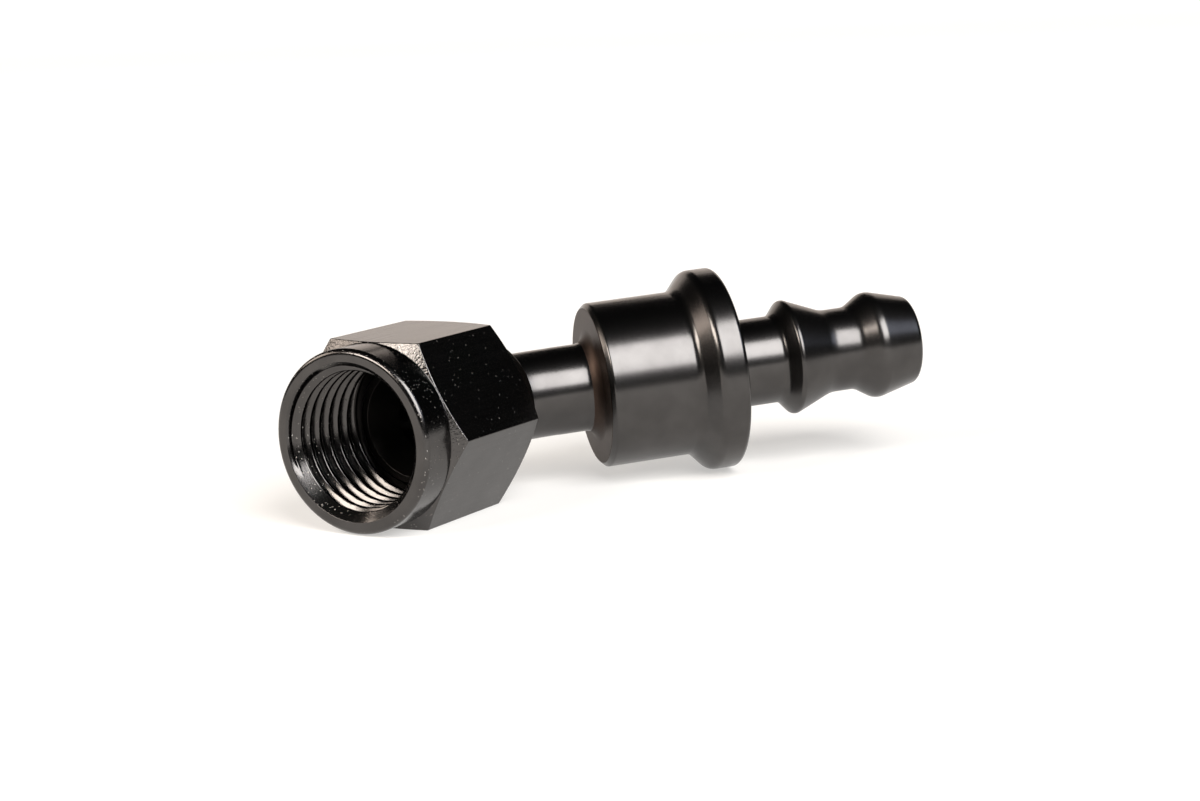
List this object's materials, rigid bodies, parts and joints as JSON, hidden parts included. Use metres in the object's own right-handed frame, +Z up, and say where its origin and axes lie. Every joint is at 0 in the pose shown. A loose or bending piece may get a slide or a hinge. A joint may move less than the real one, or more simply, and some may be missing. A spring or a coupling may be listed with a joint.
{
  "type": "hose barb fitting",
  "caption": "Forty-five degree push-on hose barb in black anodised aluminium, with a swivel nut threaded inside for a flare joint.",
  "frame": {"origin": "centre of the rim of the nipple's conical seat, on the nut's axis", "axes": "+X along the nut's axis, out of its mouth; +Z up, away from the surface the part lies on; the barb leads off towards -X and +Y"},
  "size_m": [0.0566, 0.0448, 0.0205],
  "materials": {
    "nut": "black anodised, satin",
    "barb": "black anodised, satin",
    "wire": "bright drawn spring wire"
  },
  "bodies": {
    "barb": {"hose_end": "barb", "retaining_wire": "wire"},
    "nut": {"swivel_nut": "nut"}
  },
  "joints": [
    {"name": "nut_swivel", "type": "hinge", "parent": "barb", "child": "nut", "pos_m": [0, 0, 0], "axis": [1, 0, 0], "continuous": true}
  ]
}
